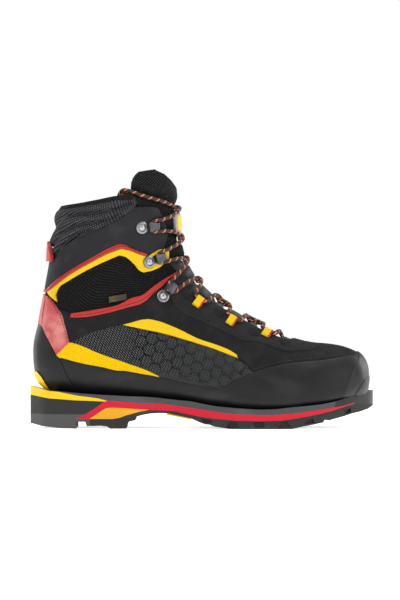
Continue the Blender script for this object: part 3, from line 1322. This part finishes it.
lining_outline = [
    (BACK, 117.3), (-139, 117.3), (-120, 112), (-90, 112), (-60, 118), (-40, 126), (-31, 129), (-30, 149),
    (-40, 148), (-60, 144), (-90, 134), (-120, 124), (-139, 120.2), (BACK, 120.2),
]
lining = panel("lining_ankle_skin", lining_outline, CLOTH["lining_knit"], rise=-3.0, depth=6.4, edge=0.5,
               step=3.0)
bend(lining, "lining_ankle")
label_outline = [(-82, 110.8), (-66.5, 113.6), (-66.5, 119), (-82, 116.2)]
skin("side_label_skin", label_outline, label_gold, "foot", "label_gold", "side_label", side="lateral",
     rise=0.55, depth=0.6, edge=0.3, step=1.2)

# ---------------------------------------------------------------- lace, hooks and loops
lace = sweep("lace_braided", LACE_LINE, (0, 0, 1), circle(LACE_RADIUS, 14), lace_braid)
bend(lace, "lace")

# The moulded end of the lace, by the distance from the lace's own end: a tube with two pressed rings.
AGLET_STEPS = np.array([-0.5, 0, 0.6, 3.0, 3.4, 3.8, 14.0, 14.4, 14.8, 17.2, 17.8, 18.0])
AGLET_SIZES = np.array([1.0, 1.12, 1.12, 1.12, 1.0, 1.12, 1.12, 1.0, 1.12, 1.05, 0.8, 0.3]) / 1.1


def aglet(name, tip, before):
    """The moulded end on one of the lace's ends. before is the point of the lace next to its tip."""
    ahead = (tip - before) / np.linalg.norm(tip - before)
    line = tip + ahead * AGLET_STEPS[:, None]
    return sweep(name, line, (0, 1, 0), circle(1.75, 16), aglet_plastic, AGLET_SIZES)


ends = [aglet("aglet_a", LACE_LINE[0], LACE_LINE[1]), aglet("aglet_b", LACE_LINE[-1], LACE_LINE[-2])]
settle(joined("lace_tips", ends), "foot", "lace_cord", "lace_aglets")


def hook(name, anchor):
    """A hook bent from one strip: a round end under the rivet, a plate, a curl for the lace and a lip."""
    low, curl = 0.25, (HOOK_GAP + HOOK_SHEET) / 2
    strip = []          # (forward, out, width as a share of the strap's)
    for forward in np.linspace(-5.6, 0, 9):
        strip.append((forward, low, math.sqrt(HOOK_END_RADIUS ** 2 - forward ** 2) / (HOOK_WIDTH / 2)))
    for forward in np.linspace(2.5, 11.5, 8):
        narrow = 0.35 * smooth(forward, 0.5, 4) + 0.25 * smooth(forward, 8.5, 11.5)
        strip.append((forward, low, 1.18 - narrow + 0.12 * smooth(forward, 5, 8)))
    for angle in np.radians(np.linspace(-75, 75, 9)):
        strip.append((12.4 + curl * math.cos(angle) * 1.15, low + curl + curl * math.sin(angle), 0.70))
    for k, forward in enumerate(np.linspace(11.5, 5.6, 7)):
        strip.append((forward, low + 2 * curl + 0.10 * k, 0.74 + 0.24 * smooth(k, 0, 4)))
    line = [anchor.point(forward, 0, out) for forward, out, _ in strip]
    widths = [(width, 1.0) for _, _, width in strip]
    return sweep(name, line, anchor.across, strap_profile(HOOK_WIDTH, HOOK_SHEET), hook_metal, widths, 35)


def post(anchor):
    """The filler inside the curl, which the lace turns on."""
    profile = [(0.05, 0.5), (2.7, 0.5), (3.0, 0.8), (3.0, 4.3), (2.7, 4.6), (0.05, 4.6)]
    return turned("post", anchor, profile, hook_metal, at=HOOK_REACH - 0.4, count=20)


WASHER = [(2.6, 0.6), (5.1, 0.7), (5.5, 1.0), (5.4, 1.35), (4.6, 1.75), (3.6, 1.7), (3.2, 1.3), (2.9, 1.2)]
DOME = [
    (0.05, -1.0), (3.0, -1.0), (3.25, 1.35), (3.1, 1.9), (2.5, 2.55), (1.6, 3.0), (0.8, 3.18), (0.05, 3.2),
]
rivet_parts = {"cuff": [], "foot": []}
for (name, side), anchor in HOOK_ANCHORS.items():
    body = "foot" if name == "low" else "cuff"
    things = [hook("strip", anchor), post(anchor), turned("washer", anchor, WASHER, ring_metal)]
    settle(joined(f"hook_{name}_{side}_bent", things), body, "metal_dark", f"hook_{name}_{side}")
    rivet_parts[body].append(turned("dome", anchor, DOME, rivet_metal))
for body, things in rivet_parts.items():
    settle(joined(f"{body}_rivet_domes", things), body, "metal_bright", f"{body}_rivets")


def tab(anchor):
    """A folded strip of webbing round the lace with its sewn tail, and a red edge on its toe side."""
    spots = [(f, 0.65) for f in np.linspace(-7.8, -2.6, 6)]
    for angle in np.radians(np.linspace(-60, 215, 12)):
        spots.append((2.35 * math.sin(angle) * 1.05, LOOP_BASE - 0.1 - 2.3 * math.cos(angle)))
    spots += [(-3.2, 2.1), (-5.0, 1.9), (-7.4, 1.75)]
    line = along_spline([anchor.point(f, 0, o) for f, o in spots], 2)
    toe = 1 if anchor.across[0] > 0 else -1
    across, toewards = anchor.across, anchor.across * toe
    strap = sweep("tab", line - toewards * 0.6, across, strap_profile(6.4, 0.95), yellow_film)
    edge = sweep("tab_edge", line + toewards * 3.1, across, strap_profile(1.5, 1.15), piping_red)
    return strap, edge


straps, edges = zip(*[tab(anchor) for anchor in LOOP_ANCHORS.values()])
settle(joined("lace_tabs", list(straps)), "foot", "webbing", "lace_loops")
settle(joined("lace_tab_edges", list(edges)), "foot", "red_textile")

# ---------------------------------------------------------------- stitching
eyestay_seam = [
    (-25.5, 121), (-24.2, 114), (-22.5, 110), (-17.5, 105), (-1, 96.3), (12.3, 90.3), (30, 82),
    (34.5, 79.4), (42.5, 78.3), (54, 76.3), (68, 71.3), (76, 69.3), (88, 70),
]
foot_threads = [
    (eyestay_seam, 1.2), (shifted(eyestay_seam[:-2], 1.0, 1.7), 1.2),
    (shifted(part_of(RAND_LINE, 40, 130), -0.5, 1.8), 0.4),
    ([(139, 70), (138.8, 66)], 0.6),
    ([(-118.5, 79), (-122.5, 92), (-125.5, 102.5)], 0.45),
    ([(-137.5, 115.6), (-133, 112.2), (-128.3, 104), (-126.5, 101.5)], 0.45),
    ([(-124, 101), (-114, 97.5), (-104, 95.8)], 0.5),
]
settle(stitches("foot_stitching", foot_threads), "foot", "microfibre_dark")
ankle_thread = [
    (-113, 99.7), (-104, 100.2), (-82, 104.4), (-64, 109.6), (-53.5, 113), (-47, 117.5), (-36, 127.5),
    (-27, 134),
]
ankle_stitches = stitches("ankle_piping_stitching", [(ankle_thread, 1.15)], pitch=2.6, length=1.9)
settle(ankle_stitches, "foot", "red_textile")
cuff_piping_thread = [
    (-134, 124.5), (-117.5, 137), (-99.5, 147.5), (-82.5, 156.6), (-71.5, 160.8), (-64, 159.5),
    (-52, 154.5),
]
cuff_front_thread = [
    (-60, 190.6), (-57, 192.2), (-50, 192.9), (-42, 192.7), (-39.6, 191.6), (-38, 187.5), (-35, 180),
    (-32.7, 173),
]
cuff_threads = [
    (cuff_piping_thread, 1.25), (cuff_front_thread, 0.7), ([(-33.2, 166.5), (-35, 160.5), (-40, 159)], 0.7),
]
settle(stitches("cuff_stitching", cuff_threads, pitch=2.7, length=2.0), "cuff", "shell_dark")


def fold_cord(line, sign):
    """The dark cord that holds a collar fold down, under the rolls and short of the cuff's edge."""
    path, normals = line_on_form(line[1:-1], sign, -2.3)
    return sweep("fold_cord", path, normals[0], circle(1.15, 10), black_thread)


fold_cords = [fold_cord(line, sign) for line in COLLAR_FOLDS for sign in SIDES.values()]
settle(joined("collar_fold_cords", fold_cords), "cuff", "collar_textile")

# ---------------------------------------------------------------- the frame's own nodes
NODE_FINISHES = {
    "outsole": tread_rubber, "midsole_red": crimson_foam, "arch_insert_orange": orange_foam,
    "arch_rib_orange": orange_foam, "heel_crampon_ledge": yellow_mould, "welt_strip_gray": gray_rubber,
    "toe_crampon_welt": toe_rubber, "shank": inner_board, "lasting_board": inner_board,
    "lining_cuff": CLOTH["lining_knit"], "lining_foot": CLOTH["lining_knit"], "heel_counter": inner_board,
    "toe_puff": inner_board, "footbed": footbed_felt,
}


def refinish(thing, finish):
    """Gives a node of the frame a material, and leaves its mesh alone."""
    for place in thing.material_slots:
        place.link = "OBJECT"
        place.material = finish
    if not thing.material_slots:
        thing.data.materials.append(finish)


for node, finish in NODE_FINISHES.items():
    refinish(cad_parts[node], finish)

# ---------------------------------------------------------------- floor, camera and light
PICTURE_WIDTH = 0.356          # metres that the picture is wide, at the boot
AIM = (-0.0018, 0.0, 0.1133)
DISTANCE = 3.4
camera = bpy.data.objects.new("camera", bpy.data.cameras.new("camera"))
bpy.context.scene.collection.objects.link(camera)
camera.location = (AIM[0], -DISTANCE, AIM[2])
camera.rotation_euler = (math.pi / 2, 0, 0)
camera.data.sensor_fit = "HORIZONTAL"
camera.data.lens = camera.data.sensor_width * DISTANCE / PICTURE_WIDTH
camera.data.clip_end = 50
bpy.context.scene.camera = camera


def make_floor():
    """A pale floor that reaches far enough for its edge not to show."""
    half = 30.0
    mesh = bpy.data.meshes.new("floor")
    corners = [(-half, -half, 0), (half, -half, 0), (half, half, 0), (-half, half, 0)]
    mesh.from_pydata(corners, [], [(0, 1, 2, 3)])
    pale = Finish("floor_pale", (0.88, 0.88, 0.88), 0.9, Specular_IOR_Level=0.1, Emission_Color=(1, 1, 1, 1),
                  Emission_Strength=0.72)
    mesh.materials.append(pale.material)
    floor = bpy.data.objects.new("floor", mesh)
    bpy.context.scene.collection.objects.link(floor)


make_floor()


def area_light(name, place, target, size, power):
    """A soft white rectangular light that faces its target."""
    data = bpy.data.lights.new(name, "AREA")
    data.shape = "RECTANGLE"
    data.size, data.size_y = size
    data.energy = power
    lamp = bpy.data.objects.new(name, data)
    lamp.location = place
    lamp.rotation_euler = (Vector(target) - Vector(place)).to_track_quat("-Z", "Y").to_euler()
    bpy.context.scene.collection.objects.link(lamp)


area_light("key", (-0.9, -1.5, 1.5), (0, 0, 0.1), (1.2, 0.9), 17)
area_light("fill", (1.6, -1.0, 1.0), (0.05, 0, 0.06), (0.7, 1.3), 12)
area_light("top", (0.1, 0.1, 1.7), (0, 0, 0.1), (1.5, 1.0), 16)
area_light("back_left", (-1.2, 1.0, 0.8), (0, 0, 0.12), (0.7, 1.0), 10)
area_light("back_right", (1.3, 0.9, 0.7), (0, 0, 0.12), (0.7, 1.0), 8)


def make_sky():
    """A world that is white near the horizon and dimmer overhead."""
    world = bpy.data.worlds.new("studio")
    world.use_nodes = True
    sky = world.node_tree
    direction = add_node(sky, "TexCoord", {}).outputs["Generated"]
    height = add_node(sky, "SeparateXYZ", {0: direction}).outputs["Z"]
    band = {"From Min": 0.10, "From Max": 0.30, "To Min": 1.0, "To Max": 0.30}
    dimmed = add_node(sky, "MapRange", {"Value": height, **band})
    background = sky.nodes["Background"]
    background.inputs["Color"].default_value = (1, 1, 1, 1)
    sky.links.new(dimmed.outputs[0], background.inputs["Strength"])
    bpy.context.scene.world = world


make_sky()
bpy.context.scene.view_settings.view_transform = "Standard"
